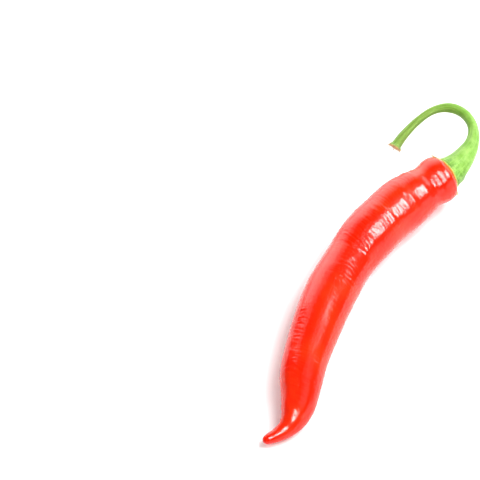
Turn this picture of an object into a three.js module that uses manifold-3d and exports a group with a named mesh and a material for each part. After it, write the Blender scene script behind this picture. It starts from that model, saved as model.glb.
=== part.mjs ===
// Chilli pepper, picked with its hooked stalk and laid down. Millimetres, +Z up.
// The tip points along -Y and the stalk leaves along +Y. The origin is in the middle of the
// outline, on the surface that the pod rests on.
// Both pieces follow one bent middle line. A place on it is its distance from the calyx rim,
// counted into the stalk, so that the pod's own places are negative.
import * as THREE from 'three';
import { ParametricGeometry } from 'three/addons/geometries/ParametricGeometry.js';
import { mergeVertices } from 'three/addons/utils/BufferGeometryUtils.js';
import Module from 'manifold-3d';

// Pod.
const POD_LENGTH = 121;           // rim to tip along the middle line
const POD_DIAMETER = 17.4;        // at the belly, its fullest place
const BELLY_PLACE = 0.16;         // share of the pod's length from the rim
const SHOULDER_LENGTH = 2.8;      // from the rim to where the shoulder is full
const CROWN_HEIGHT = 3.2;         // of the pod's end inside the calyx
const LOBE_COUNT = 3;
const LOBE_DEPTH = 0.25;
const LOBE_ANGLE = 0.5;           // of the first lobe, in radians
const LOBES_FADE_FROM = 0.25;     // share of the pod's length where the lobes begin to fade
const LOBES_FADE_TO = 0.85;       // share of the pod's length where they are gone
const RESTING_FLAT_DEPTH = 0.2;   // how far the skin gives where the pod lies on a surface

// Stalk and calyx.
const STALK_LENGTH = 59;          // rim to cut end along the middle line
const CALYX_LENGTH = 16;          // rim to where the calyx has run into the stalk
const CALYX_RIM_DIAMETER = 11.1;
const CALYX_WALL = 0.45;
const STALK_DIAMETER = 3.3;       // at the top of the hook
const STALK_NARROW_DIAMETER = 2.7;
const STALK_LOW_DIAMETER = 3.1;   // just before the swelling at the cut end
const CUT_END_DIAMETER = 4.2;
const CUT_END_LENGTH = 3;         // of the swelling at the cut end
const CUT_CORNER = 0.5;           // how far the cut end's corner is rounded
const CUT_DISH = 0.4;             // how far the middle of the cut lies below its edge
const TOOTH_LENGTHS = [2.7, 0.9, 0.8, 2.4, 2.2, 2];   // in turn, from the rim along the skin
const TOOTH_ANGLE = -0.6;         // of the first tooth, in radians
const TOOTH_EDGE = 0.2;           // thickness at a tooth's edge
const RIM_OVERLAP = 0.4;          // how far the calyx passes the rim between two teeth
const CALYX_GAP = 0.3;            // between the calyx and the pod's skin

// How full the pod is, as [share of its length from the rim, share of POD_DIAMETER].
const FULLNESS = [
  [0, 0.84], [0.04, 0.9], [0.075, 0.835], [0.115, 0.93], [BELLY_PLACE, 1], [0.23, 0.98], [0.31, 0.99],
  [0.4, 0.91], [0.54, 0.925], [0.72, 0.805], [0.79, 0.755], [0.84, 0.65], [0.875, 0.575],
  [0.905, 0.455], [0.935, 0.32], [0.965, 0.23], [0.988, 0.17],
];

// The calyx's taper, as [share of its length from the rim, share of what its radius still keeps
// of the difference between the rim and the stalk].
const CALYX_TAPER = [[0.12, 0.88], [0.35, 0.64], [0.6, 0.44], [0.87, 0.21], [1, 0.12], [1.3, 0.01]];
// Thickness of the stalk between the calyx and the swelling at its end, as [share, diameter].
const STALK_THICKNESS = [
  [0.25, STALK_DIAMETER], [0.4, STALK_DIAMETER], [0.53, STALK_NARROW_DIAMETER],
  [0.73, STALK_NARROW_DIAMETER], [1, STALK_LOW_DIAMETER],
];

// Bends seen from above, as [share of the length from the rim, degrees to the left of the Y axis].
// The pod's are those of the line run from its tip to the rim.
const POD_BEND = [
  [0, -24.5], [0.12, -19.5], [0.25, -10], [0.4, 0.5], [0.55, 9.5], [0.7, 13.5], [0.82, 24.5],
  [0.88, 13], [0.94, -22], [1, -44],
];
const STALK_BEND = [
  [0, -24.5], [0.1, -10], [0.2, 2], [0.3, 25.5], [0.4, 54.5], [0.5, 93.5], [0.6, 137],
  [0.7, 160.5], [0.85, 171.5], [1, 182.5],
];

// How far the pod is held up along its length, as [share of its length from the rim, height].
const POD_LIFT = [
  [0, 1.45], [0.06, 0.55], [0.14, 0.05], [0.2, 0], [0.42, 0], [0.6, 0.35], [0.74, 0], [0.8, 0],
  [0.92, 0.4], [1, 1.2],
];
// Climb of the stalk after the rim, as [share of its length, degrees above level].
const STALK_CLIMB = [[0.15, 12], [0.3, 10], [0.5, 2], [0.7, -4], [1, -8]];

// Fineness of the surfaces.
const WALK_STEPS = 400;
const POD_AROUND = 28;
const POD_ROWS = 78;
const STALK_AROUND = 30;
const STALK_ROWS = 46;
const TOOTH_ROWS = 6;
const LINING_ROWS = 18;

const RADIANS = Math.PI / 180;
const X = 0;
const Y = 1;

// A smooth curve through [x, y] stations that never swings past them.
function smoothThrough(stations) {
  const last = stations.length - 1;
  const slope = stations.map((_, i) => {
    if (i === 0 || i === last) return 0;
    const before = rise(stations[i - 1], stations[i]);
    const after = rise(stations[i], stations[i + 1]);
    return before * after <= 0 ? 0 : 2 * before * after / (before + after);
  });
  slope[0] = rise(stations[0], stations[1]);
  slope[last] = rise(stations[last - 1], stations[last]);
  return (x) => {
    let i = 0;
    while (i < last - 1 && x > stations[i + 1][X]) i += 1;
    const [a, b] = [stations[i], stations[i + 1]];
    const width = b[X] - a[X];
    const t = THREE.MathUtils.clamp((x - a[X]) / width, 0, 1);
    const bow = (1 - t) * slope[i] - t * slope[i + 1];
    const twist = a[Y] - b[Y];
    return THREE.MathUtils.lerp(a[Y], b[Y], t)
      + t * (1 - t) * (width * bow + (1 - 2 * t) * twist);
  };
}

function rise(a, b) {
  return (b[Y] - a[Y]) / (b[X] - a[X]);
}

const fullnessAt = smoothThrough(FULLNESS);
const liftAt = smoothThrough(POD_LIFT);

function bodyRadius(share) {
  return POD_DIAMETER / 2 * fullnessAt(share);
}

// Height of the middle line over the surface. The shoulder is held as high as the belly.
function podHeight(share) {
  return bodyRadius(Math.max(share, BELLY_PLACE)) + liftAt(share) - RESTING_FLAT_DEPTH;
}

// Climb of the line run from the tip to the rim, in radians.
function podClimb(share) {
  const near = Math.max(share - 1 / WALK_STEPS, 0);
  const far = Math.min(share + 1 / WALK_STEPS, 1);
  return Math.asin((podHeight(near) - podHeight(far)) / ((far - near) * POD_LENGTH));
}

function direction(bend, climb) {
  const level = Math.cos(climb);
  return new THREE.Vector3(-Math.sin(bend) * level, Math.cos(bend) * level, Math.sin(climb));
}

// Points and directions of the middle line, walked away from the rim. Sense is 1 into the
// stalk and -1 into the pod.
function walk(length, sense, bendAt, climbAt) {
  const step = length / WALK_STEPS;
  const point = new THREE.Vector3(0, 0, podHeight(0));
  const places = [];
  for (let i = 0; i <= WALK_STEPS; i += 1) {
    const share = i / WALK_STEPS;
    const along = direction(bendAt(share) * RADIANS, climbAt(share));
    places.push({ point: point.clone(), along });
    point.addScaledVector(along, sense * step);
  }
  return { length, places };
}

const stalkClimbAt = smoothThrough([[0, podClimb(0) / RADIANS], ...STALK_CLIMB]);
const podWalk = walk(POD_LENGTH, -1, smoothThrough(POD_BEND), podClimb);
const stalkWalk = walk(STALK_LENGTH, 1, smoothThrough(STALK_BEND),
  (share) => stalkClimbAt(share) * RADIANS);

// Puts into target the point at a distance from the rim, a radius from the middle line and
// an angle around it, where a quarter turn is straight up.
function place(distance, radius, angle, target) {
  const { length, places } = distance < 0 ? podWalk : stalkWalk;
  const overrun = Math.max(Math.abs(distance) - length, 0) * Math.sign(distance);
  const step = Math.min(Math.abs(distance) / length, 1) * WALK_STEPS;
  const from = Math.min(Math.floor(step), WALK_STEPS - 1);
  const point = places[from].point.clone().lerp(places[from + 1].point, step - from);
  const along = places[from].along.clone().lerp(places[from + 1].along, step - from).normalize();
  const side = new THREE.Vector3(along.y, -along.x, 0).normalize();
  const up = new THREE.Vector3().crossVectors(side, along);
  target.copy(point)
    .addScaledVector(along, overrun)
    .addScaledVector(side, radius * Math.cos(angle))
    .addScaledVector(up, radius * Math.sin(angle));
}

// The pod's outline as (distance, radius) points, from the crown inside the calyx to the tip.
function podOutline() {
  const rim = CALYX_RIM_DIAMETER / 2 - CALYX_WALL - CALYX_GAP;
  const full = bodyRadius(SHOULDER_LENGTH / POD_LENGTH);
  const points = [[CROWN_HEIGHT, 0]];
  for (const turn of [0.25, 0.5, 0.75]) {
    const angle = turn * Math.PI / 2;
    points.push([CROWN_HEIGHT * Math.cos(angle), rim * Math.sin(angle)]);
  }
  points.push([0, rim]);
  for (const run of [1 / 3, 2 / 3, 1]) {
    const swell = Math.sin(run * Math.PI / 2);
    points.push([-SHOULDER_LENGTH * run, THREE.MathUtils.lerp(rim, full, swell)]);
  }
  for (const [share] of FULLNESS.slice(1)) points.push([-share * POD_LENGTH, bodyRadius(share)]);
  points.push([-POD_LENGTH, 0]);
  const curve = new THREE.SplineCurve(points.map(([x, y]) => new THREE.Vector2(x, y)));
  curve.arcLengthDivisions = 2000;
  return curve;
}

// The pod is faintly lobed, most at the shoulder, and round inside the calyx and at the tip.
function lobe(distance, angle) {
  const share = -distance / POD_LENGTH;
  const rising = THREE.MathUtils.smoothstep(-distance, SHOULDER_LENGTH, 4 * SHOULDER_LENGTH);
  const fading = THREE.MathUtils.smoothstep(share, LOBES_FADE_FROM, LOBES_FADE_TO);
  return LOBE_DEPTH * rising * (1 - fading) * Math.cos(LOBE_COUNT * (angle - LOBE_ANGLE));
}

function podSurface(outline) {
  return new ParametricGeometry((u, v, target) => {
    const { x: distance, y: radius } = outline.getPoint(v);
    const angle = 2 * Math.PI * u;
    place(distance, radius + lobe(distance, angle), angle, target);
  }, POD_AROUND, POD_ROWS);
}

// A point of the pod's outline raised off the skin. Reach is its distance along the skin from
// the crown's middle.
function offSkin(outline, reach, height) {
  const share = reach / outline.getLength();
  const along = outline.getTangentAt(share);
  const point = outline.getPointAt(share);
  if (reach === 0) return new THREE.Vector2(point.x + height, 0);
  return new THREE.Vector2(point.x + along.y * height, point.y - along.x * height);
}

// How far the rim lies from the crown's middle, along the skin.
function reachOfRim(outline) {
  const lengths = outline.getLengths();
  const divisions = lengths.length - 1;
  const crossing = lengths.findIndex((_, i) => outline.getPoint(i / divisions).x <= 0);
  return lengths[crossing];
}

// The outside of the stalk and calyx as (distance, radius) points, from the cut end to the rim.
function stalkOutline(rim) {
  const end = CUT_END_DIAMETER / 2;
  const bare = STALK_LENGTH - CUT_END_LENGTH - CALYX_LENGTH;
  const points = [
    [STALK_LENGTH - CUT_DISH, 0],
    [STALK_LENGTH - CUT_DISH * 0.7, end * 0.5],
    [STALK_LENGTH, end - CUT_CORNER / 2],
    [STALK_LENGTH - CUT_CORNER, end],
    [STALK_LENGTH - CUT_END_LENGTH / 2, (end + STALK_LOW_DIAMETER / 2) / 2],
  ];
  for (const [share, diameter] of STALK_THICKNESS.toReversed()) {
    points.push([CALYX_LENGTH + share * bare, diameter / 2]);
  }
  for (const [share, kept] of CALYX_TAPER.toReversed()) {
    const radius = THREE.MathUtils.lerp(STALK_DIAMETER / 2, rim.y, kept);
    points.push([CALYX_LENGTH * share, radius]);
  }
  points.push([rim.x, rim.y]);
  return new THREE.SplineCurve(points.map(([x, y]) => new THREE.Vector2(x, y)));
}

// How far the calyx runs past the rim at a share of the turn, counted from the first tooth:
// a pointed tooth in the middle of each stretch.
function toothReach(turn) {
  const place = turn * TOOTH_LENGTHS.length;
  const nearest = Math.round(place);
  const length = TOOTH_LENGTHS[nearest % TOOTH_LENGTHS.length];
  const rising = 1 - 2 * Math.abs(place - nearest);
  return RIM_OVERLAP + (length - RIM_OVERLAP) * rising ** 1.6;
}

// One closed skin: the outside from the cut end to the rim, the outside of the teeth, and the
// calyx's lining back to its middle.
function stalkSurface(outline) {
  const rimReach = reachOfRim(outline);
  const rim = offSkin(outline, rimReach, CALYX_GAP + CALYX_WALL);
  const outside = stalkOutline(rim);
  const rows = STALK_ROWS + TOOTH_ROWS + LINING_ROWS;
  return new ParametricGeometry((u, v, target) => {
    const angle = TOOTH_ANGLE + 2 * Math.PI * u;
    const row = v * rows;
    const edge = rimReach + toothReach(u);
    let point;
    if (row <= STALK_ROWS) {
      point = outside.getPoint(row / STALK_ROWS);
    } else if (row <= STALK_ROWS + TOOTH_ROWS) {
      const run = (row - STALK_ROWS) / TOOTH_ROWS;
      const wall = THREE.MathUtils.lerp(CALYX_WALL, TOOTH_EDGE, run);
      point = offSkin(outline, THREE.MathUtils.lerp(rimReach, edge, run), CALYX_GAP + wall);
    } else {
      const run = (row - STALK_ROWS - TOOTH_ROWS - 1) / (LINING_ROWS - 1);
      point = offSkin(outline, THREE.MathUtils.lerp(edge, 0, Math.max(run, 0)), CALYX_GAP);
    }
    place(point.x, point.y, angle, target);
  }, STALK_AROUND, rows);
}

const wasm = await Module();
wasm.setup();

// A closed geometry as a solid, with shared vertices merged and empty triangles dropped.
function solidFrom(geometry) {
  const bare = geometry.clone().deleteAttribute('normal').deleteAttribute('uv');
  const merged = mergeVertices(bare, 1e-4);
  const corners = [];
  for (let i = 0; i < merged.index.count; i += 3) {
    const [a, b, c] = [0, 1, 2].map((k) => merged.index.getX(i + k));
    if (a !== b && b !== c && c !== a) corners.push(a, b, c);
  }
  return new wasm.Manifold(new wasm.Mesh({
    numProp: 3,
    vertProperties: merged.attributes.position.array,
    triVerts: new Uint32Array(corners),
  }));
}

function geometryFrom(solid) {
  const { vertProperties, triVerts } = solid.getMesh();
  const geometry = new THREE.BufferGeometry();
  geometry.setAttribute('position', new THREE.BufferAttribute(vertProperties, 3));
  geometry.setIndex(new THREE.BufferAttribute(triVerts, 1));
  geometry.computeVertexNormals();
  return geometry;
}

// Cuts away what is lower than the resting surface, which leaves the flats that the pod lies on.
function restOnSurface(geometry) {
  const size = 2 * (POD_LENGTH + STALK_LENGTH);
  const below = new THREE.BoxGeometry(size, size, size).translate(0, 0, -size / 2);
  return geometryFrom(solidFrom(geometry).subtract(solidFrom(below)));
}

function makePod(outline) {
  const red = new THREE.MeshStandardMaterial({ color: 0xe8140a, roughness: 0.2, metalness: 0 });
  const pod = new THREE.Mesh(restOnSurface(podSurface(outline)), red);
  pod.name = 'pod';
  return pod;
}

function makeStalk(outline) {
  const green = new THREE.MeshStandardMaterial({ color: 0x86bf45, roughness: 0.5, metalness: 0 });
  const stalk = new THREE.Mesh(stalkSurface(outline), green);
  stalk.name = 'stalk_and_calyx';
  return stalk;
}

const outline = podOutline();
const chilli = new THREE.Group();
chilli.add(makePod(outline), makeStalk(outline));
const box = new THREE.Box3().setFromObject(chilli, true);
const middle = box.getCenter(new THREE.Vector3());
chilli.position.set(-middle.x, -middle.y, -box.min.z);

export default chilli;
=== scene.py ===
import math

import bmesh
import bpy
import numpy as np
from mathutils import Matrix, Vector


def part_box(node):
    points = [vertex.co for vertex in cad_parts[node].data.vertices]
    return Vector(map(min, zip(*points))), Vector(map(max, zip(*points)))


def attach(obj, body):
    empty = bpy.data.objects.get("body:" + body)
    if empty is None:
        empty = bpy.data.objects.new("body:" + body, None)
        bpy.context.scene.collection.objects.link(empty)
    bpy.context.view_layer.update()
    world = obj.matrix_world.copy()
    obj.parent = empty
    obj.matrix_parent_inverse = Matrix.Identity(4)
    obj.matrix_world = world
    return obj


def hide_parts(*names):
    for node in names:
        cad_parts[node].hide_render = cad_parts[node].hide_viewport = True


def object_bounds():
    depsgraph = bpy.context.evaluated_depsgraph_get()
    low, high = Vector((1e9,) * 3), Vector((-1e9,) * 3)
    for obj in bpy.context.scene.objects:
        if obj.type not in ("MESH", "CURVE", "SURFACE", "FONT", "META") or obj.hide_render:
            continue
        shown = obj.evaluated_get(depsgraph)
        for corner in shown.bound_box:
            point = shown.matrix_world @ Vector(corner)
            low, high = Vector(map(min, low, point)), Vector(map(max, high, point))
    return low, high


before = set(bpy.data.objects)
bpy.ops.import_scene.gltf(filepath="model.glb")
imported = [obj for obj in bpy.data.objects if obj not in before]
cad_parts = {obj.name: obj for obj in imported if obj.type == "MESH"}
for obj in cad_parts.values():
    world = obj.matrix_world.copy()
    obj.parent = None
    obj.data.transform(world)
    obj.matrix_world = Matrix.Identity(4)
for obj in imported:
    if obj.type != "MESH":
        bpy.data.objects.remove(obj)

bl_info = {
    "name": "Chilli Pepper",
    "version": (1, 0, 0),
    "blender": (4, 5, 0),
    "location": "View3D > Sidebar > Chilli",
    "description": "Makes a glossy red chilli pepper with its green calyx and hooked stalk",
    "category": "Add Mesh",
}

MM = 0.001
CAD_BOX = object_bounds()
BODY = "root"
POD_NODE = "pod"
STALK_NODE = "stalk_and_calyx"
TURN = 2 * math.pi
# The cut end is dished by this depth, inside an edge of this width.
CUT_DISH = 0.4 * MM
CUT_EDGE = 0.25 * MM
# The way that the pepper lies, roughly, along which the lamps are laid out.
LYING_WAY = Vector((0.3, 0.95, 0))

# Fullness of the pod as (share of its length from the rim, share of its diameter).
BELLY_PLACE = 0.16
FULLNESS = (
    (0, 0.84), (0.04, 0.9), (0.075, 0.835), (0.115, 0.93), (BELLY_PLACE, 1), (0.23, 0.98),
    (0.31, 0.99), (0.4, 0.91), (0.54, 0.925), (0.72, 0.805), (0.79, 0.755), (0.84, 0.65),
    (0.875, 0.575), (0.905, 0.455), (0.935, 0.32), (0.965, 0.23), (0.978, 0.2), (0.988, 0.17),
)
# Bends seen from above as (share of the length from the rim, degrees to the left of +Y).
POD_BEND = (
    (0, -24.5), (0.12, -19.5), (0.25, -10), (0.4, 0.5), (0.55, 9.5), (0.7, 13.5), (0.82, 24.5),
    (0.88, 13), (0.94, -22), (1, -44),
)
STALK_BEND = (
    (0, -24.5), (0.1, -10), (0.2, 2), (0.3, 25.5), (0.4, 54.5), (0.5, 93.5), (0.6, 137),
    (0.7, 160.5), (0.85, 171.5), (1, 182.5),
)
# How far the pod is held up as (share of its length from the rim, height).
POD_LIFT = (
    (0, 1.45 * MM), (0.06, 0.55 * MM), (0.14, 0.05 * MM), (0.2, 0), (0.42, 0), (0.6, 0.35 * MM),
    (0.74, 0), (0.8, 0), (0.92, 0.4 * MM), (1, 1.2 * MM),
)
# Climb of the stalk after the rim as (share of its length, degrees above level).
STALK_CLIMB = ((0.15, 12), (0.3, 10), (0.5, 2), (0.7, -4), (1, -8))
# Bumps and dents of the pod, most of which only break up its gloss, as (share of its length,
# degrees around from the right-hand side over the top, height, reach along, reach around in
# degrees).
POD_MARKS = (
    (0.057, 62, -0.06 * MM, 0.45 * MM, 40),
    (0.105, 60, 0.45 * MM, 2.8 * MM, 45),
    (0.165, 62, 0.28 * MM, 1.3 * MM, 40),
    (0.252, 62, 0.1 * MM, 0.7 * MM, 40),
    (0.262, 60, 0.25 * MM, 5.0 * MM, 40),
    (0.393, 64, -0.3 * MM, 2.2 * MM, 40),
    (0.893, 78, 0.18 * MM, 1.4 * MM, 50),
    (0.07, 150, -0.1 * MM, 2.0 * MM, 40),
    (0.088, 128, 0.11 * MM, 0.55 * MM, 20),
    (0.1, 118, -0.1 * MM, 0.5 * MM, 18),
    (0.116, 130, 0.09 * MM, 0.55 * MM, 16),
    (0.132, 120, -0.08 * MM, 0.6 * MM, 16),
)
# The same for stalk and calyx, whose shares are of the stalk's length.
STALK_MARKS = (
    (0.05, -34, 0.4 * MM, 1.1 * MM, 13),
    (0.075, -20, -0.12 * MM, 1.5 * MM, 14),
    (0.045, 70, 0.16 * MM, 1.6 * MM, 12),
    (0.04, 38, -0.14 * MM, 1.8 * MM, 12),
    (0.06, 5, 0.14 * MM, 2.2 * MM, 14),
    (0.05, 105, -0.12 * MM, 1.8 * MM, 14),
)
# The calyx's taper as (share of its length from the rim, share of the rim's surplus radius).
CALYX_TAPER = ((0.12, 0.88), (0.35, 0.64), (0.6, 0.44), (0.87, 0.21), (1, 0.12), (1.3, 0.01))


# ---------------------------------------------------------------- settings


def length_setting(name, description, default):
    return bpy.props.FloatProperty(
        name=name, description=description, default=default, unit="LENGTH")


def colour_setting(name, description, default):
    return bpy.props.FloatVectorProperty(
        name=name, description=description, default=default, size=3, subtype="COLOR")


class ChilliPod(bpy.types.PropertyGroup):
    """Sizes and colours of the red pod"""

    length: length_setting("Length", "From the calyx rim to the tip, along the bend", 121 * MM)
    diameter: length_setting("Diameter", "At the belly, its fullest place", 17.4 * MM)
    shoulder_length: length_setting(
        "Shoulder Length", "From the rim to where the shoulder is full", 2.8 * MM)
    crown_height: length_setting(
        "Crown Height", "Height of the pod's end inside the calyx", 3.2 * MM)
    flat_depth: length_setting(
        "Resting Flat", "How far the skin gives where the pod lies", 0.2 * MM)
    lobe_depth: length_setting(
        "Lobe Depth", "Depth of the lengthwise lobes of the shoulder", 0.25 * MM)
    ripple_depth: length_setting(
        "Ripple Depth", "Depth of the broad, soft swells of the body", 0.2 * MM)
    wrinkle_depth: length_setting(
        "Wrinkle Depth", "Depth of the fine wrinkles across the body", 0.24 * MM)
    wrinkle_pitch: length_setting(
        "Wrinkle Pitch", "Usual distance from one wrinkle to the next", 0.7 * MM)
    seed: bpy.props.IntProperty(
        name="Seed", description="Changes the pattern of swells and wrinkles", default=4)
    red: colour_setting("Red", "Main colour of the skin", (0.86, 0.012, 0.0005))
    bright_red: colour_setting(
        "Bright Red", "Colour of the thinner, lighter patches", (0.9, 0.03, 0.003))
    rim_colour: colour_setting(
        "Rim Colour", "Colour of the narrow band beside the calyx", (0.85, 0.3, 0.03))


class ChilliStalk(bpy.types.PropertyGroup):
    """Sizes and colours of the green stalk and calyx"""

    length: length_setting("Length", "From the calyx rim to the cut end, along the bend", 59 * MM)
    calyx_length: length_setting(
        "Calyx Length", "From the rim to where the calyx has become stalk", 16 * MM)
    rim_diameter: length_setting("Rim Diameter", "Width of the calyx at its rim", 11.1 * MM)
    wall: length_setting("Calyx Wall", "Thickness of the calyx at its rim", 0.45 * MM)
    hidden_gap: length_setting(
        "Hidden Gap", "Space kept between the pod's crown and the calyx", 0.3 * MM)
    snug_gap: length_setting(
        "Snug Gap", "Space between the pod's skin and the calyx's edge", 0.04 * MM)
    thick_diameter: length_setting(
        "Thick Diameter", "Of the stalk at the top of its hook", 3.3 * MM)
    narrow_diameter: length_setting("Narrow Diameter", "Of the stalk at its thinnest", 2.7 * MM)
    low_diameter: length_setting("Low Diameter", "Of the stalk just before its cut end", 3.35 * MM)
    end_diameter: length_setting("End Diameter", "Of the swelling at the cut end", 4.5 * MM)
    end_length: length_setting("End Length", "Of the swelling at the cut end", 3 * MM)
    rib_depth: length_setting(
        "Rib Depth", "Depth of the grooves that run along the stalk", 0.09 * MM)
    bump_depth: length_setting("Bump Depth", "Depth of the uneven skin", 0.07 * MM)
    cut_slant: length_setting("Cut Slant", "How much shorter the cut's lower side is", 2.0 * MM)
    tear_depth: length_setting("Tear Depth", "How ragged the edge of the cut is", 0.5 * MM)
    fibre_count: bpy.props.IntProperty(
        name="Fibres", description="Torn fibres around the cut end", default=26)
    fibre_length: length_setting("Fibre Length", "Of the longest torn fibre", 1.4 * MM)
    fibre_radius: length_setting("Fibre Radius", "Of a torn fibre at its root", 0.15 * MM)
    green: colour_setting("Green", "Main colour", (0.16, 0.37, 0.03))
    pale_green: colour_setting(
        "Pale Green", "Colour of the ribs and pale patches", (0.29, 0.5, 0.1))
    # Dark green is painted shade in the grooves and in patches near the calyx rim; it also gives the
    # darker lengthwise streaks.
    dark_green: colour_setting("Dark Green", "Colour of the grooves", (0.07, 0.21, 0.01))
    olive: colour_setting(
        "Olive", "Colour that the stalk turns to towards its cut end", (0.14, 0.22, 0.015))
    tooth_colour: colour_setting(
        "Tooth Colour", "Colour of the dry tips of the calyx's teeth", (0.3, 0.15, 0.05))
    edge_colour: colour_setting(
        "Edge Colour", "Colour of the calyx's thin edge", (0.62, 0.46, 0.1))
    cut_colour: colour_setting("Cut Colour", "Colour of the dry cut end", (0.62, 0.42, 0.2))


class ChilliStudio(bpy.types.PropertyGroup):
    """The plain studio around the pepper"""

    camera_azimuth: bpy.props.FloatProperty(
        name="Camera Azimuth", description="Turn of the camera round the pepper",
        default=math.radians(30), subtype="ANGLE")
    camera_elevation: bpy.props.FloatProperty(
        name="Camera Elevation", description="Height of the camera above the horizon",
        default=math.radians(50), subtype="ANGLE")
    camera_distance: length_setting(
        "Camera Distance", "From the camera to what it points at", 0.65)
    aim_left: length_setting(
        "Aim Left", "How far left of the pepper's middle the camera points", 40.7 * MM)
    aim_back: length_setting("Aim Back", "How far towards the tip the camera points", 4.83 * MM)
    lens: bpy.props.FloatProperty(
        name="Lens", description="Focal length in millimetres", default=152.3)
    brightness: bpy.props.FloatProperty(
        name="Brightness", description="Strength of all the lamps", default=1.0)
    surroundings: bpy.props.FloatProperty(
        name="Surroundings", description="Brightness of the room around", default=0.1)


# ---------------------------------------------------------------- shape helpers


def smooth_through(stations):
    """A function of x that passes smoothly through (x, y) stations and never swings past them."""
    x, y = np.array(stations, float).T
    rise = np.diff(y) / np.diff(x)
    slope = np.zeros(len(x))
    same_way = rise[:-1] * rise[1:] > 0
    before, after = rise[:-1][same_way], rise[1:][same_way]
    slope[1:-1][same_way] = 2 * before * after / (before + after)
    slope[0], slope[-1] = rise[0], rise[-1]

    def value(at):
        i = np.clip(np.searchsorted(x, at, side="right") - 1, 0, len(x) - 2)
        width = x[i + 1] - x[i]
        t = np.clip((at - x[i]) / width, 0, 1)
        bow = (1 - t) * slope[i] - t * slope[i + 1]
        drop = y[i] - y[i + 1]
        return y[i] - drop * t + t * (1 - t) * (width * bow + (1 - 2 * t) * drop)

    return value


def spline_through(points, steps=60):
    """A dense smooth line through points, as an array."""
    p = np.array(points, float)
    p = np.vstack([p[:1], p, p[-1:]])
    t = np.linspace(0, 1, steps, endpoint=False)[:, None]
    pieces = []
    for a, b, c, d in zip(p[:-3], p[1:-2], p[2:-1], p[3:]):
        leaving, arriving = (c - a) / 2, (d - b) / 2
        cubic = 2 * b - 2 * c + leaving + arriving
        square = -3 * b + 3 * c - 2 * leaving - arriving
        pieces.append(((cubic * t + square) * t + leaving) * t + b)
    return np.vstack(pieces + [p[-1:]])


def smoothstep(value, low, high):
    t = np.clip((value - low) / (high - low), 0, 1)
    return t * t * (3 - 2 * t)


def bumps(marks, share, angle, length):
    """The height that a table of marks adds at shares of the length and angles around."""
    height = np.zeros_like(share)
    for place, degrees, rise, reach, spread in marks:
        gap = np.angle(np.exp(1j * (angle - math.radians(degrees))))
        height += rise * bell((share - place) * length, 0, reach) * bell(
            gap, 0, math.radians(spread))
    return height


def run_along(line):
    """The distance of each point of a line from its start."""
    return np.concatenate([[0], np.cumsum(np.linalg.norm(np.diff(line, axis=0), axis=1))])


def resample(line, reach):
    """Points of a line at distances from its start."""
    run = run_along(line)
    return np.stack([np.interp(reach, run, line[:, k]) for k in range(line.shape[1])], -1)


def bell(value, middle, width):
    return np.exp(-((value - middle) / width) ** 2)


class MiddleLine:
    """The bent line that all pieces follow. A place on it is its distance from the calyx
    rim, counted into the stalk, so that the pod's own places are negative."""

    STEPS = 800

    def __init__(self, pod, stalk):
        self.pod = pod
        self.fullness = smooth_through(FULLNESS)
        self.lift = smooth_through(POD_LIFT)
        share = np.linspace(0, 1, self.STEPS + 1)
        height = self.height(share)
        climb = np.arcsin(-np.gradient(height, share * pod.length))
        pod_part = self.walk(pod.length, -1, smooth_through(POD_BEND), climb)
        start = math.degrees(climb[0])
        stalk_climb = np.radians(smooth_through(((0, start), *STALK_CLIMB))(share))
        stalk_part = self.walk(stalk.length, 1, smooth_through(STALK_BEND), stalk_climb)
        self.at = np.concatenate([-share[::-1] * pod.length, share[1:] * stalk.length])
        self.points, self.along = (
            np.concatenate([a[::-1], b[1:]]) for a, b in zip(pod_part, stalk_part))

    def radius(self, share):
        return self.pod.diameter / 2 * self.fullness(share)

    def height(self, share):
        return (self.radius(np.maximum(share, BELLY_PLACE)) + self.lift(share)
                - self.pod.flat_depth)

    def walk(self, length, sense, bend_at, climb):
        share = np.linspace(0, 1, self.STEPS + 1)
        bend = np.radians(bend_at(share))
        level = np.cos(climb)
        along = np.stack([-np.sin(bend) * level, np.cos(bend) * level, np.sin(climb)], -1)
        steps = sense * along * length / self.STEPS
        start = np.array([0, 0, self.height(0.0)])
        return start + np.vstack([np.zeros(3), np.cumsum(steps, 0)[:-1]]), along

    def frame_at(self, distance):
        point = np.stack([np.interp(distance, self.at, c) for c in self.points.T], -1)
        along = np.stack([np.interp(distance, self.at, c) for c in self.along.T], -1)
        along /= np.linalg.norm(along, axis=-1, keepdims=True)
        over = distance - np.clip(distance, self.at[0], self.at[-1])
        point += along * over[..., None]
        side = np.stack([along[..., 1], -along[..., 0], np.zeros_like(over)], -1)
        side /= np.linalg.norm(side, axis=-1, keepdims=True)
        return point, side, np.cross(side, along)

    def surface(self, distance, radius, angle):
        """Points at distances, radii and angles around the line; a quarter turn is up."""
        point, side, up = self.frame_at(distance)
        outward = side * np.cos(angle)[..., None] + up * np.sin(angle)[..., None]
        return point + outward * radius[..., None]


def pod_outline(line, pod, stalk):
    """The pod's outline as (distance, radius) points from the crown's middle to the tip."""
    rim = stalk.rim_diameter / 2 - stalk.wall - stalk.hidden_gap
    full = line.radius(pod.shoulder_length / pod.length)
    points = [(pod.crown_height, 0)]
    for turn in (0.25, 0.5, 0.75, 1):
        angle = turn * TURN / 4
        points.append((pod.crown_height * math.cos(angle), rim * math.sin(angle)))
    for run in (1 / 3, 2 / 3, 1):
        swell = math.sin(run * TURN / 4)
        points.append((-pod.shoulder_length * run, rim + (full - rim) * swell))
    points += [(-share * pod.length, line.radius(share)) for share, _ in FULLNESS[1:]]
    tip_start, last = points[-1]
    for turn in (1 / 3, 2 / 3):
        angle = turn * TURN / 4
        reach = (-pod.length - tip_start) * math.sin(angle)
        points.append((tip_start + reach, last * math.cos(angle) * (1 - 0.15 * math.sin(angle))))
    points.append((-pod.length, 0))
    return spline_through(points)


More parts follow.
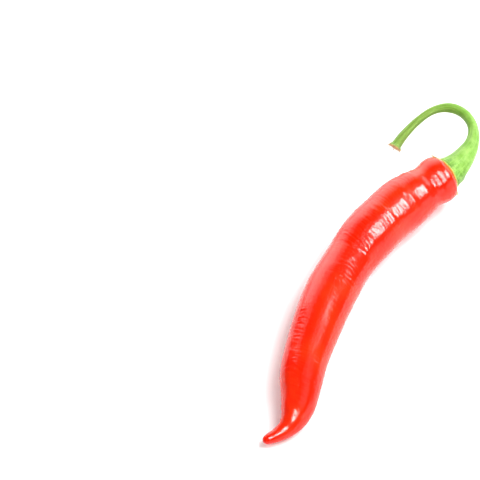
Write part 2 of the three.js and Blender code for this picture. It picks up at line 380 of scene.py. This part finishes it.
def stalk_outline(stalk, rim):
    """The outside of stalk and calyx as (distance, radius) points, from the cut to the rim."""
    end = stalk.end_diameter / 2
    bare = stalk.length - stalk.end_length - stalk.calyx_length
    thick, narrow = stalk.thick_diameter / 2, stalk.narrow_diameter / 2
    low = stalk.low_diameter / 2
    points = [
        (stalk.length - CUT_DISH, 0), (stalk.length - 0.7 * CUT_DISH, end * 0.5),
        (stalk.length, end - CUT_EDGE), (stalk.length - 2 * CUT_EDGE, end),
        (stalk.length - stalk.end_length / 2, (end + low) / 2),
    ]
    for share, radius in ((1, low), (0.73, narrow), (0.53, narrow), (0.4, thick), (0.25, thick)):
        points.append((stalk.calyx_length + share * bare, radius))
    for share, kept in reversed(CALYX_TAPER):
        points.append((stalk.calyx_length * share, thick + (rim[1] - thick) * kept))
    points.append(tuple(rim))
    return spline_through(points)


def off_skin(outline, reach, height):
    """Points of an outline raised off it, at distances along it from its start."""
    step = 0.05 * MM
    near, far = resample(outline, reach - step), resample(outline, reach + step)
    along = far - near
    along /= np.linalg.norm(along, axis=-1, keepdims=True)
    outward = np.stack([along[..., 1], -along[..., 0]], -1)
    raised = resample(outline, reach) + outward * np.asarray(height)[..., None]
    return np.stack([raised[..., 0], np.maximum(raised[..., 1], 0)], -1)


def closed_tube(name, points, facts):
    """A closed mesh from a grid of points whose first and last rows each shrink to a point.
    Facts are named values of the grid's points, kept as attributes."""
    rows, columns = points.shape[:2]
    inner = points[1:-1].reshape(-1, 3)
    vertices = np.vstack([points[:1, 0], inner, points[-1:, 0]])
    last = len(vertices) - 1
    index = 1 + np.arange((rows - 2) * columns).reshape(rows - 2, columns)
    after = np.roll(index, -1, axis=1)
    quads = np.stack([index[:-1], after[:-1], after[1:], index[1:]], -1).reshape(-1, 4)
    first_fan = np.stack([np.zeros(columns, int), after[0], index[0]], -1)
    last_fan = np.stack([np.full(columns, last), index[-1], after[-1]], -1)
    mesh = bpy.data.meshes.new(name)
    mesh.from_pydata(vertices, [], [*quads.tolist(), *first_fan.tolist(), *last_fan.tolist()])
    for key, grid in facts.items():
        kind = "FLOAT_VECTOR" if grid.ndim == 3 else "FLOAT"
        values = np.concatenate(
            [grid[:1, 0], grid[1:-1].reshape(-1, *grid.shape[2:]), grid[-1:, 0]])
        field = "vector" if grid.ndim == 3 else "value"
        mesh.attributes.new(key, kind, "POINT").data.foreach_set(field, values.ravel())
    face_outwards(mesh)
    mesh.shade_smooth()
    piece = bpy.data.objects.new(name, mesh)
    bpy.context.scene.collection.objects.link(piece)
    return piece


def face_outwards(mesh):
    work = bmesh.new()
    work.from_mesh(mesh)
    bmesh.ops.recalc_face_normals(work, faces=work.faces)
    work.to_mesh(mesh)
    work.free()


def ring_facts(distance, angle):
    """The facts that patterns follow: the place along the line and the direction around it."""
    around = np.stack([np.cos(angle), np.sin(angle), np.zeros_like(angle)], -1)
    return {"along": distance, "around": around}


# ---------------------------------------------------------------- node graphs


class Wire:
    """An output socket. Arithmetic on it adds Math nodes to its tree."""

    def __init__(self, graph, socket):
        self.graph = graph
        self.socket = socket

    def _math(self, operation, *values):
        return self.graph.node(
            "ShaderNodeMath", {"operation": operation}, dict(enumerate(values)))["Value"]

    def __add__(self, other):
        return self._math("ADD", self, other)

    def __radd__(self, other):
        return self._math("ADD", other, self)

    def __sub__(self, other):
        return self._math("SUBTRACT", self, other)

    def __mul__(self, other):
        return self._math("MULTIPLY", self, other)

    def __rmul__(self, other):
        return self._math("MULTIPLY", other, self)

    def __truediv__(self, other):
        return self._math("DIVIDE", self, other)

    def __pow__(self, other):
        return self._math("POWER", self, other)

    def __neg__(self):
        return self._math("MULTIPLY", self, -1)

    def step(self, low, high, start=0.0, end=1.0):
        """Rises smoothly from start to end as the value goes from low to high."""
        values = {"Value": self, "From Min": low, "From Max": high, "To Min": start, "To Max": end}
        return self.graph.node(
            "ShaderNodeMapRange", {"interpolation_type": "SMOOTHSTEP"}, values)["Result"]


class Made:
    """A node that was just made, whose outputs are read by name."""

    def __init__(self, graph, node):
        self.graph = graph
        self.node = node

    def __getitem__(self, name):
        outputs = [o for o in self.node.outputs if o.enabled and o.name == name]
        return Wire(self.graph, outputs[0])


class Graph:
    """A node tree that is being built."""

    def __init__(self, tree):
        self.tree = tree

    def node(self, kind, settings=None, values=None):
        """Adds a node: its settings first, then its sockets' values."""
        made = self.tree.nodes.new(kind)
        for key, value in (settings or {}).items():
            setattr(made, key, value)
        for key, value in (values or {}).items():
            socket = self.socket_of(made, key)
            if isinstance(value, Wire):
                self.tree.links.new(value.socket, socket)
            elif socket.type == "RGBA" and len(value) == 3:
                socket.default_value = (*value, 1.0)
            else:
                socket.default_value = value
        return Made(self, made)

    @staticmethod
    def socket_of(node, key):
        if isinstance(key, int):
            return node.inputs[key]
        return next(s for s in node.inputs if s.enabled and s.name == key)

    def mix(self, factor, a, b):
        """A colour between a and b."""
        return self.node("ShaderNodeMix", {"data_type": "RGBA"},
                         {"Factor": factor, "A": a, "B": b})["Result"]

    def vector(self, x, y, z):
        return self.node("ShaderNodeCombineXYZ", None, {"X": x, "Y": y, "Z": z})["Vector"]

    def noise(self, vector, scale, detail=2.0, roughness=0.5, w=None):
        """Noise around zero, from about -0.5 to 0.5. W picks one of many patterns."""
        settings = {"noise_dimensions": "4D" if w is not None else "3D"}
        values = {"Vector": vector, "Scale": scale, "Detail": detail, "Roughness": roughness}
        if w is not None:
            values["W"] = w
        return self.node("ShaderNodeTexNoise", settings, values)["Fac"] - 0.5


class PieceTree(Graph):
    """A Geometry Nodes tree with named inputs that changes one mesh and gives it a material."""

    def __init__(self, name, sizes):
        super().__init__(bpy.data.node_groups.new(name, "GeometryNodeTree"))
        face = self.tree.interface
        face.new_socket("Geometry", in_out="INPUT", socket_type="NodeSocketGeometry")
        for label, kind in sizes.items():
            face.new_socket(label, in_out="INPUT", socket_type="NodeSocket" + kind)
        face.new_socket("Material", in_out="INPUT", socket_type="NodeSocketMaterial")
        face.new_socket("Geometry", in_out="OUTPUT", socket_type="NodeSocketGeometry")
        self.inputs = self.node("NodeGroupInput")

    def fact(self, name, kind="FLOAT"):
        return self.node("GeometryNodeInputNamedAttribute", {"data_type": kind},
                         {"Name": name})["Attribute"]

    def push_out(self, geometry, height):
        """Moves each point along its normal."""
        normal = self.node("GeometryNodeInputNormal")["Normal"]
        offset = self.node("ShaderNodeVectorMath", {"operation": "SCALE"},
                           {"Vector": normal, "Scale": height})["Vector"]
        return self.node("GeometryNodeSetPosition", None,
                         {"Geometry": geometry, "Offset": offset})["Geometry"]

    def finish(self, geometry):
        real = self.node("GeometryNodeRealizeInstances", None, {"Geometry": geometry})["Geometry"]
        painted = self.node("GeometryNodeSetMaterial", None,
                            {"Geometry": real, "Material": self.inputs["Material"]})["Geometry"]
        self.node("NodeGroupOutput", None, {"Geometry": painted})
        return self.tree


def apply_tree(piece, tree, values):
    """Runs a Geometry Nodes tree on a piece and keeps the result as its plain mesh."""
    changes = piece.modifiers.new(tree.name, "NODES")
    changes.node_group = tree
    for item in tree.interface.items_tree:
        if item.in_out == "INPUT" and item.name in values:
            changes[item.identifier] = values[item.name]
    graph = bpy.context.evaluated_depsgraph_get()
    result = bpy.data.meshes.new_from_object(piece.evaluated_get(graph), depsgraph=graph)
    piece.modifiers.remove(changes)
    old = piece.data
    piece.data = result
    bpy.data.meshes.remove(old)
    result.name = piece.name


def principled(name, values):
    """A material with one Principled shader, and its graph. Plain values go on its sockets."""
    material = bpy.data.materials.new(name)
    material.use_nodes = True
    material.node_tree.nodes.clear()
    graph = Graph(material.node_tree)
    shader = graph.node("ShaderNodeBsdfPrincipled", None, values)
    graph.node("ShaderNodeOutputMaterial", None, {"Surface": shader["BSDF"]})
    return material, graph, shader.node


def feed(graph, shader, **wires):
    """Links wires to the shader's sockets: base_color feeds Base Color, and so on."""
    for key, wire in wires.items():
        graph.tree.links.new(wire.socket, shader.inputs[key.replace("_", " ").title()])


# ---------------------------------------------------------------- materials


def object_place(graph):
    return graph.node("ShaderNodeTexCoord")["Object"]


def attribute(graph, name, output="Fac"):
    return graph.node("ShaderNodeAttribute", {"attribute_name": name})[output]


def skin_material(pod):
    """Waxy red skin: faint lighter patches, an orange edge beside the calyx, fine grain."""
    material, graph, shader = principled("chilli_skin", {
        "IOR": 1.4, "Subsurface Weight": 0.06, "Subsurface Scale": 0.003,
        "Subsurface Radius": (1.0, 0.1, 0.03),
    })
    place = object_place(graph)
    along = attribute(graph, "along")
    patches = graph.noise(place, scale=90.0, detail=3.0).step(-0.08, 0.2)
    colour = graph.mix(patches * 0.7, tuple(pod.red), tuple(pod.bright_red))
    rim = along.step(-0.9 * MM, -0.1 * MM)
    colour = graph.mix(rim * 0.8, colour, tuple(pod.rim_colour))
    grain = graph.noise(place, scale=1400.0)
    roughness = 0.17 + grain * 0.06 + graph.noise(place, scale=160.0) * 0.06
    bump = graph.node("ShaderNodeBump", None, {
        "Strength": 0.5, "Distance": 0.02 * MM, "Height": grain})["Normal"]
    feed(graph, shader, base_color=colour, roughness=roughness, normal=bump)
    return material


def stalk_material(stalk):
    """Fresh green with pale ribs, and darker grooves whose dark green is painted shade, with painted
    shade in dark patches near the rim; paler at the rim's thin edge, dry at the cut.
    """
    material, graph, shader = principled("chilli_stalk", {
        "IOR": 1.35, "Subsurface Weight": 0.12, "Subsurface Scale": 0.0025,
        "Subsurface Radius": (0.5, 1.0, 0.2), "Coat Weight": 0.05, "Coat Roughness": 0.3,
    })
    place = object_place(graph)
    along = attribute(graph, "along")
    groove = attribute(graph, "groove")
    patches = graph.noise(place, scale=420.0, detail=4.0, roughness=0.6)
    colour = graph.mix((patches + 0.35).step(0.1, 0.6), tuple(stalk.green),
                       tuple(stalk.pale_green))
    # Painted shade: the grooves are mixed towards dark green.
    colour = graph.mix(groove.step(0.1, 0.8) * 0.85, colour, tuple(stalk.dark_green))
    old = along.step(stalk.length * 0.35, stalk.length * 0.75)
    colour = graph.mix(old * 0.7, colour, tuple(stalk.olive))
    # Painted shade: patchy dark green on the calyx near its rim, where it meets the pod.
    rim_shade_patches = graph.noise(place, scale=480.0, detail=4.0, roughness=0.65)
    painted_rim_shade = along.step(9 * MM, 1 * MM) * rim_shade_patches.step(-0.06, 0.1)
    colour = graph.mix(painted_rim_shade * 0.75, colour, tuple(stalk.dark_green))
    edge = attribute(graph, "edge")
    colour = graph.mix(edge.step(0.6, 1.0) * 0.6, colour, tuple(stalk.edge_colour))
    colour = graph.mix(attribute(graph, "tooth"), colour, tuple(stalk.tooth_colour))
    cut = attribute(graph, "cut")
    colour = graph.mix(cut, colour, tuple(stalk.cut_colour))
    parts = graph.node("ShaderNodeSeparateXYZ", None, {
        "Vector": attribute(graph, "around", "Vector")})
    per_metre, around = 130.0, 9.0
    long_way = graph.vector(along * per_metre, parts["X"] * around, parts["Y"] * around)
    lines = graph.noise(long_way, scale=1.0, detail=3.0, roughness=0.6)
    colour = graph.mix(lines.step(0.02, 0.2) * 0.75, colour, tuple(stalk.pale_green))
    colour = graph.mix(lines.step(-0.02, -0.22) * 0.6, colour, tuple(stalk.dark_green))
    streaks = graph.noise(place, scale=1500.0, detail=3.0) + lines * 1.5
    bump = graph.node("ShaderNodeBump", None, {
        "Strength": 0.8, "Distance": 0.14 * MM, "Height": streaks})["Normal"]
    roughness = 0.42 + patches * 0.2
    feed(graph, shader, base_color=colour, roughness=roughness, normal=bump)
    return material


def fibre_material():
    """Dry, pale brown torn ends."""
    material, graph, shader = principled("dry_fibre", {"Roughness": 0.8, "IOR": 1.45})
    tone = graph.noise(object_place(graph), scale=1500.0).step(-0.2, 0.25)
    feed(graph, shader, base_color=graph.mix(tone, (0.42, 0.16, 0.06), (0.85, 0.68, 0.4)))
    return material


def floor_material():
    material, graph, shader = principled("pale_floor", {"Roughness": 0.9, "IOR": 1.3})
    tone = graph.noise(object_place(graph), scale=3.0)
    feed(graph, shader, base_color=graph.mix(tone + 0.5, (0.93, 0.93, 0.93), (0.95, 0.95, 0.95)))
    return material


# ---------------------------------------------------------------- trees


def skin_relief_tree():
    """Lobes, soft swells and fine cross wrinkles of the pod's skin."""
    tree = PieceTree("pod_skin_relief", {
        "Length": "Float", "Lobe Depth": "Float", "Ripple Depth": "Float",
        "Wrinkle Depth": "Float", "Wrinkle Pitch": "Float", "Seed": "Float"})
    given = tree.inputs
    along = tree.fact("along")
    around = tree.fact("around", "FLOAT_VECTOR")
    parts = tree.node("ShaderNodeSeparateXYZ", None, {"Vector": around})
    across, upward = parts["X"], parts["Y"]
    share = -along / given["Length"]
    clear = share.step(0.004, 0.03)

    triple = 4 * across ** 3 - 3 * across
    lobes = triple * given["Lobe Depth"] * share.step(0.02, 0.09) * share.step(0.25, 0.85, 1, 0)

    per_metre, wide, narrow = 90.0, 0.9, 1.7
    soft_place = tree.vector(along * per_metre, across * wide, upward * wide)
    soft = tree.noise(soft_place, 1.0, detail=1.0, roughness=0.4, w=given["Seed"])
    swells = soft * given["Ripple Depth"] * 2 * share.step(0.8, 0.95, 1.0, 0.1)

    slant = along + across * 1.2 * MM + soft * 5 * MM
    fine_place = tree.vector(slant / given["Wrinkle Pitch"], across * narrow, upward * narrow)
    fine = tree.noise(fine_place, 1.0, detail=3.0, roughness=0.6, w=given["Seed"] + 7.0)
    where = share.step(0.05, 0.2, 0.35, 1.0) * share.step(0.3, 0.6, 1.0, 0.45)
    spots = tree.noise(soft_place, 2.2, detail=1.0, w=given["Seed"] + 3.0)
    patchy = spots.step(-0.12, 0.12, 0.5, 1.0)
    strength = (where + share.step(0.68, 0.8) * 0.4) * share.step(0.92, 0.97, 1.0, 0.1) * patchy
    wrinkles = fine * given["Wrinkle Depth"] * 2 * strength

    height = (swells + wrinkles + tree.fact("mark")) * clear + lobes
    return tree.finish(tree.push_out(given["Geometry"], height))


def stalk_relief_tree():
    """Lengthwise grooves and the uneven skin of the stalk and calyx."""
    tree = PieceTree("stalk_skin_relief", {
        "Rib Depth": "Float", "Bump Depth": "Float", "Seed": "Float"})
    given = tree.inputs
    along = tree.fact("along")
    groove = tree.fact("groove")
    outside = tree.fact("outside")
    parts = tree.node("ShaderNodeSeparateXYZ", None, {
        "Vector": tree.fact("around", "FLOAT_VECTOR")})
    per_metre, around = 260.0, 2.2
    place = tree.vector(along * per_metre, parts["X"] * around, parts["Y"] * around)
    uneven = tree.noise(place, 1.0, detail=3.0, roughness=0.55, w=given["Seed"])
    uneven = uneven * given["Bump Depth"] * 2
    height = (uneven + tree.fact("mark") - groove * given["Rib Depth"] * 2) * outside
    return tree.finish(tree.push_out(given["Geometry"], height))


def fibre_tree():
    """Tapered torn fibres standing on the points of the cut edge."""
    tree = PieceTree("torn_fibres", {
        "Length": "Float", "Radius": "Float", "Seed": "Int"})
    given = tree.inputs
    cone = tree.node("GeometryNodeMeshCone", None, {
        "Vertices": 6, "Radius Top": given["Radius"] * 0.25,
        "Radius Bottom": given["Radius"], "Depth": given["Length"]})["Mesh"]

    def random(low, high, salt):
        return tree.node("FunctionNodeRandomValue", {"data_type": "FLOAT"}, {
            "Min": low, "Max": high, "Seed": given["Seed"] + salt})["Value"]

    most = 0.5
    lean = tree.node("FunctionNodeRandomValue", {"data_type": "FLOAT_VECTOR"}, {
        "Min": (-most,) * 3, "Max": (most,) * 3, "Seed": given["Seed"]})["Value"]
    out = tree.fact("out", "FLOAT_VECTOR")
    leaning = tree.node("ShaderNodeVectorMath", {"operation": "ADD"}, {0: out, 1: lean})["Vector"]
    turn = tree.node("FunctionNodeAlignRotationToVector", {"axis": "Z"}, {
        "Vector": leaning})["Rotation"]
    size = tree.vector(random(0.6, 1.3, 1.0), random(0.6, 1.3, 2.0), random(0.3, 1.0, 3.0))
    fibres = tree.node("GeometryNodeInstanceOnPoints", None, {
        "Points": given["Geometry"], "Instance": cone, "Rotation": turn, "Scale": size})["Instances"]
    return tree.finish(fibres)


# ---------------------------------------------------------------- pieces


def settings():
    scene = bpy.context.scene
    return scene.chilli_pod, scene.chilli_stalk, scene.chilli_studio


def into_frame(points):
    """Moves points from the line's own frame to the part's, by where the CAD pod lies."""
    low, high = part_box(POD_NODE)
    own_low, own_high = pod_box()
    shift = [(low[k] + high[k] - own_low[k] - own_high[k]) / 2 for k in (0, 1)]
    return points + np.array([*shift, 0.0])


def pod_box():
    """Lowest and highest corner of the plain pod, in the line's own frame."""
    pod, stalk, _ = settings()
    points = pod_grid(pod, stalk, rows=400, columns=119)[0].reshape(-1, 3)
    return points.min(0), points.max(0)


def pod_grid(pod, stalk, rows, columns):
    """Points of the plain pod in the line's own frame, with their distances and angles."""
    line = MiddleLine(pod, stalk)
    outline = pod_outline(line, pod, stalk)
    profile = resample(outline, np.linspace(0, run_along(outline)[-1], rows))
    angle = np.broadcast_to(np.arange(columns) / columns * TURN, (rows, columns))
    distance = np.broadcast_to(profile[:, :1], angle.shape)
    radius = np.broadcast_to(profile[:, 1:], angle.shape)
    return line.surface(distance, radius, angle), distance, angle


def make_pod(pod, stalk):
    points, distance, angle = pod_grid(pod, stalk, rows=560, columns=150)
    facts = ring_facts(distance, angle)
    facts["mark"] = bumps(POD_MARKS, -distance / pod.length, angle, pod.length)
    piece = closed_tube("pod_skin", into_frame(points), facts)
    apply_tree(piece, skin_relief_tree(), {
        "Length": pod.length, "Lobe Depth": pod.lobe_depth, "Ripple Depth": pod.ripple_depth,
        "Wrinkle Depth": pod.wrinkle_depth, "Wrinkle Pitch": pod.wrinkle_pitch,
        "Seed": float(pod.seed), "Material": skin_material(pod)})
    lay_down(piece.data)
    return piece


def lay_down(mesh):
    """Presses what is lower than the surface flat against it."""
    places = np.empty(len(mesh.vertices) * 3, np.float32)
    mesh.vertices.foreach_get("co", places)
    places[2::3] = np.maximum(places[2::3], 0)
    mesh.vertices.foreach_set("co", places)
    mesh.update()


def tooth_reach(turn):
    """How far the calyx passes the rim at a share of the turn from its first tooth."""
    lengths = np.array([2.9, 0.9, 0.8, 2.9, 2.2, 2.0]) * MM
    least = 0.4 * MM
    place = turn * len(lengths)
    nearest = np.round(place).astype(int)
    rising = 1 - 2 * np.abs(place - nearest)
    return least + (lengths[nearest % len(lengths)] - least) * rising ** 1.6


def make_stalk(pod, stalk):
    body_rows, tooth_rows, lining_rows, columns = 420, 16, 40, 120
    first_tooth = -0.6
    line = MiddleLine(pod, stalk)
    skin = pod_outline(line, pod, stalk)
    run = run_along(skin)
    rim_reach = run[np.argmax(skin[:, 0] <= 0)]
    turn = np.arange(columns) / columns
    edge_reach = rim_reach + tooth_reach(turn)
    rim = off_skin(skin, np.array(rim_reach), stalk.hidden_gap + stalk.wall)
    outside = stalk_outline(stalk, rim)
    reach = np.linspace(0, run_along(outside)[-1], body_rows)
    body = resample(outside, reach)
    body = np.broadcast_to(body[:, None], (body_rows, columns, 2))

    body = body - torn_cut(stalk, body, first_tooth + turn * TURN)
    share = np.linspace(0, 1, tooth_rows + 1)[1:, None]
    wall = stalk.hidden_gap + stalk.wall
    edge_thickness = 0.16 * MM
    thin = stalk.snug_gap + edge_thickness
    flat_length, curl_slope = 1.2 * MM, 0.4
    curl = np.maximum(tooth_reach(turn) - flat_length, 0) * curl_slope
    height = wall + (thin - wall) * share + curl * share ** 3
    teeth = off_skin(skin, rim_reach + (edge_reach - rim_reach) * share, height)
    share = np.linspace(0, 1, lining_rows)[:, None]
    gap = stalk.snug_gap + (stalk.hidden_gap - stalk.snug_gap) * smoothstep(share, 0.1, 0.4)
    lining = off_skin(skin, edge_reach * (1 - share), gap + curl * (1 - smoothstep(share, 0, 0.2)))
    lining[-1, :, 1] = 0

    grid = np.concatenate([body, teeth, lining])
    angle = np.broadcast_to(first_tooth + turn * TURN, grid.shape[:2])
    distance, radius = grid[..., 0], grid[..., 1]
    points = into_frame(line.surface(distance, radius, angle))
    row = np.arange(len(grid))[:, None] + 0 * turn
    reach_in = np.pad(reach, (0, len(grid) - body_rows), mode="edge")
    end = stalk.end_diameter / 2
    facts = ring_facts(distance, angle)
    # The groove value sinks the grooves and also sets the painted shade in them.
    facts["groove"] = groove_pattern(distance, angle, stalk)
    facts["mark"] = bumps(STALK_MARKS, distance / stalk.length, angle, stalk.length)
    facts["outside"] = 1 - smoothstep(row, body_rows - 1, body_rows + tooth_rows - 1)
    facts["edge"] = smoothstep(row, body_rows - 2, body_rows + tooth_rows - 1)
    facts["tooth"] = smoothstep(-distance, 1.4 * MM, 2.4 * MM) * (row < body_rows + tooth_rows + 3)
    facts["cut"] = 1 - smoothstep(reach_in[:, None] + 0 * turn, end, end + 0.5 * MM)
    piece = closed_tube("stalk", points, facts)
    apply_tree(piece, stalk_relief_tree(), {
        "Rib Depth": stalk.rib_depth, "Bump Depth": stalk.bump_depth, "Seed": 3.0,
        "Material": stalk_material(stalk)})
    return piece


def torn_cut(stalk, body, angle):
    """How far each (distance, radius) of the outside falls short at the slanted, torn cut."""
    distance, radius = body[..., 0], body[..., 1]
    out = radius / (stalk.end_diameter / 2)
    near_end = smoothstep(distance, stalk.length - stalk.end_length, stalk.length - 0.3 * MM)
    longest_side = math.radians(110)
    slant = stalk.cut_slant * (1 - out * np.cos(angle - longest_side)) / 2
    ragged = np.random.default_rng(8).uniform(0, 1, angle.shape)
    ragged = (ragged + np.roll(ragged, 1) + np.roll(ragged, 2)) / 3
    torn = 1.4 * stalk.tear_depth * ragged * out ** 3
    short = near_end * slant + near_end ** 8 * torn
    return np.stack([short, 0 * short], -1)


def groove_pattern(distance, angle, stalk):
    """0 on the ribs to 1 in the grooves, which deepen towards the cut end."""
    count, twist_per_metre, phase = 5, 12, 1.6
    ribs = 0.5 + 0.5 * np.cos(count * (angle + distance * twist_per_metre) + phase)
    share = distance / stalk.length
    deep = 0.35 + 0.65 * smoothstep(share, 0.45, 0.9)
    fade = smoothstep(share, 0.0, 0.08) * (1 - smoothstep(share, 0.985, 1.0))
    return ribs ** 2 * deep * fade


def make_fibres(pod, stalk):
    """Torn fibres that stand out of the cut."""
    line = MiddleLine(pod, stalk)
    chance = np.random.default_rng(5)
    angle = chance.uniform(0, TURN, stalk.fibre_count)
    inside_edge = stalk.end_diameter / 2 - CUT_EDGE
    radius = np.sqrt(chance.uniform(0.3, 1, stalk.fibre_count)) * inside_edge
    place = np.stack([np.full_like(angle, stalk.length - CUT_DISH), radius], -1)
    distance = (place - torn_cut(stalk, place, angle))[:, 0]
    points = into_frame(line.surface(distance, radius, angle))
    _, side, up = line.frame_at(distance)
    along = np.cross(up, side)
    outward = side * np.cos(angle)[:, None] + up * np.sin(angle)[:, None]
    lean = (radius / stalk.end_diameter)[:, None]
    mesh = bpy.data.meshes.new("fibres")
    mesh.from_pydata(points.tolist(), [], [])
    mesh.attributes.new("out", "FLOAT_VECTOR", "POINT").data.foreach_set(
        "vector", (along + outward * lean).ravel())
    piece = bpy.data.objects.new("cut_fibres", mesh)
    bpy.context.scene.collection.objects.link(piece)
    apply_tree(piece, fibre_tree(), {
        "Length": stalk.fibre_length, "Radius": stalk.fibre_radius, "Seed": 11,
        "Material": fibre_material()})
    return piece


def keep(piece, slot, *nodes):
    """Fixes a finished piece to the part's frame."""
    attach(piece, BODY)
    if nodes:
        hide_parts(*nodes)


# ---------------------------------------------------------------- studio


def lamp(name, towards, distance, width, length, radiance, aim=(0, 0, 0), spread=180,
         fills=True, glints=True):
    """A flat lamp in a direction from a place by the pepper, its length along the pepper. It
    may only fill, and not show in the gloss, or only make glints."""
    away = Vector(towards).normalized()
    low, high = CAD_BOX
    data = bpy.data.lights.new(name, "AREA")
    data.shape = "RECTANGLE"
    data.size, data.size_y = width, length
    data.spread = math.radians(spread)
    beam = 1 - data.spread / 2 / math.tan(data.spread / 2)
    data.energy = radiance * math.pi * width * length * beam
    across = LYING_WAY.cross(away).normalized()
    turn = Matrix((across, away.cross(across), away)).transposed()
    light = bpy.data.objects.new(name, data)
    light.location = (low + high) / 2 + Vector(aim) + away * distance
    light.rotation_euler = turn.to_euler()
    light.visible_camera = False
    light.visible_glossy = glints
    light.visible_diffuse = fills
    bpy.context.scene.collection.objects.link(light)


def fan(name, towards, swings, distance, width, length, radiance, aim, spread):
    """A row of small, near lamps with narrow beams, swung around the pepper's length. They
    only make glints, where the gloss is to be bright."""
    for number, swing in enumerate(swings):
        turn = Matrix.Rotation(math.radians(swing), 3, LYING_WAY)
        lamp(f"{name}_{number}", turn @ Vector(towards), distance, width, length, radiance,
             aim=aim, spread=spread, fills=False)


def make_floor():
    mesh = bpy.data.meshes.new("floor")
    half = 12.0
    corners = ((-half, -half), (half, -half), (half, half), (-half, half))
    below = -0.02 * MM
    mesh.from_pydata([(x, y, below) for x, y in corners], [], [(0, 1, 2, 3)])
    floor = bpy.data.objects.new("floor", mesh)
    floor.data.materials.append(floor_material())
    bpy.context.scene.collection.objects.link(floor)


def make_world(strength):
    world = bpy.data.worlds.new("room")
    bpy.context.scene.world = world
    world.use_nodes = True
    world.node_tree.nodes.clear()
    graph = Graph(world.node_tree)
    background = graph.node("ShaderNodeBackground", None, {
        "Color": (1.0, 1.0, 1.0), "Strength": strength})
    graph.node("ShaderNodeOutputWorld", None, {"Surface": background["Background"]})


def make_camera(studio):
    low, high = CAD_BOX
    middle = (low + high) / 2
    target = Vector((middle.x - studio.aim_left, middle.y - studio.aim_back, low.z))
    a, e = studio.camera_azimuth, studio.camera_elevation
    back = Vector((math.sin(a) * math.cos(e), -math.cos(a) * math.cos(e), math.sin(e)))
    data = bpy.data.cameras.new("camera")
    data.sensor_width = 36.0
    data.lens = studio.lens
    data.clip_start, data.clip_end = 0.01, 20.0
    camera = bpy.data.objects.new("camera", data)
    camera.location = target + back * studio.camera_distance
    camera.rotation_mode = "QUATERNION"
    camera.rotation_quaternion = back.to_track_quat("Z", "Y")
    bpy.context.scene.collection.objects.link(camera)
    bpy.context.scene.camera = camera


# ---------------------------------------------------------------- operators


class CHILLI_OT_pod(bpy.types.Operator):
    """Makes the red pod"""

    bl_idname = "chilli.pod"
    bl_label = "Make Pod"

    def execute(self, context):
        pod, stalk, _ = settings()
        keep(make_pod(pod, stalk), "red_skin", POD_NODE)
        return {"FINISHED"}


class CHILLI_OT_stalk(bpy.types.Operator):
    """Makes the green stalk with its calyx"""

    bl_idname = "chilli.stalk"
    bl_label = "Make Stalk"

    def execute(self, context):
        pod, stalk, _ = settings()
        keep(make_stalk(pod, stalk), "green_stalk", STALK_NODE)
        return {"FINISHED"}


class CHILLI_OT_fibres(bpy.types.Operator):
    """Makes the torn fibres at the stalk's cut end"""

    bl_idname = "chilli.fibres"
    bl_label = "Make Cut Fibres"

    def execute(self, context):
        pod, stalk, _ = settings()
        keep(make_fibres(pod, stalk), "green_stalk")
        return {"FINISHED"}


class CHILLI_OT_studio(bpy.types.Operator):
    """Makes the floor, the lamps and the camera"""

    bl_idname = "chilli.studio"
    bl_label = "Make Studio"

    def execute(self, context):
        _, _, studio = settings()
        power = studio.brightness
        make_floor()
        make_world(studio.surroundings)
        lamp("sky", (0.4, 0.3, 0.86), distance=1.0, width=0.7, length=0.7,
             radiance=9.5 * power, glints=False)
        lamp("front_fill", (0.3, -0.7, 0.6), distance=1.2, width=1.2, length=0.9,
             radiance=2.0 * power, glints=False)
        lamp("back_left", (-0.68, 0.66, 0.3), distance=1.0, width=0.7, length=1.0,
             radiance=2.0 * power)
        lamp("back_left_soft", (-0.68, 0.66, 0.36), distance=1.1, width=1.3, length=1.2,
             radiance=1.4 * power)
        lamp("back_right", (0.25, 0.9, 0.33), distance=1.0, width=0.6, length=0.5,
             radiance=4.5 * power)
        lamp("right_soft", (0.95, 0.05, 0.16), distance=1.0, width=0.3, length=0.9,
             radiance=2.2 * power, fills=False)
        fan("key", (0.45, 0.38, 0.81), swings=(-2, 10, 22), distance=0.2, width=0.04,
            length=0.057, radiance=54.0 * power, aim=(3 * MM, 29 * MM, 6 * MM), spread=24)
        fan("shoulder_glint", (0.42, -0.2, 0.88), swings=(-20, 0, 20), distance=0.08, width=0.028,
            length=0.042, radiance=46.0 * power, aim=(8 * MM, 41 * MM, 7 * MM), spread=34)
        fan("tip_glint", (0.06, -0.47, 0.88), swings=(-2, 16), distance=0.12, width=0.044,
            length=0.032, radiance=40.0 * power, aim=(8.8 * MM, -65.3 * MM, -3.4 * MM), spread=50)
        make_camera(studio)
        context.scene.view_settings.view_transform = "Standard"
        return {"FINISHED"}


class CHILLI_PT_panel(bpy.types.Panel):
    """Lists the chilli's operators and settings"""

    bl_idname = "CHILLI_PT_panel"
    bl_label = "Chilli Pepper"
    bl_space_type = "VIEW_3D"
    bl_region_type = "UI"
    bl_category = "Chilli"

    def draw(self, context):
        for operator in OPERATORS:
            self.layout.operator(operator.bl_idname)
        for group in settings():
            box = self.layout.box()
            for key in group.__annotations__:
                box.prop(group, key)


OPERATORS = (CHILLI_OT_pod, CHILLI_OT_stalk, CHILLI_OT_fibres, CHILLI_OT_studio)
GROUPS = {"chilli_pod": ChilliPod, "chilli_stalk": ChilliStalk, "chilli_studio": ChilliStudio}


def register():
    for kind in (*GROUPS.values(), *OPERATORS, CHILLI_PT_panel):
        bpy.utils.register_class(kind)
    for name, group in GROUPS.items():
        setattr(bpy.types.Scene, name, bpy.props.PointerProperty(type=group))


def unregister():
    for name in GROUPS:
        delattr(bpy.types.Scene, name)
    for kind in (CHILLI_PT_panel, *reversed(OPERATORS), *reversed(GROUPS.values())):
        bpy.utils.unregister_class(kind)


def main():
    register()
    bpy.ops.chilli.pod()
    bpy.ops.chilli.stalk()
    bpy.ops.chilli.fibres()
    bpy.ops.chilli.studio()


if __name__ == "__main__":
    main()
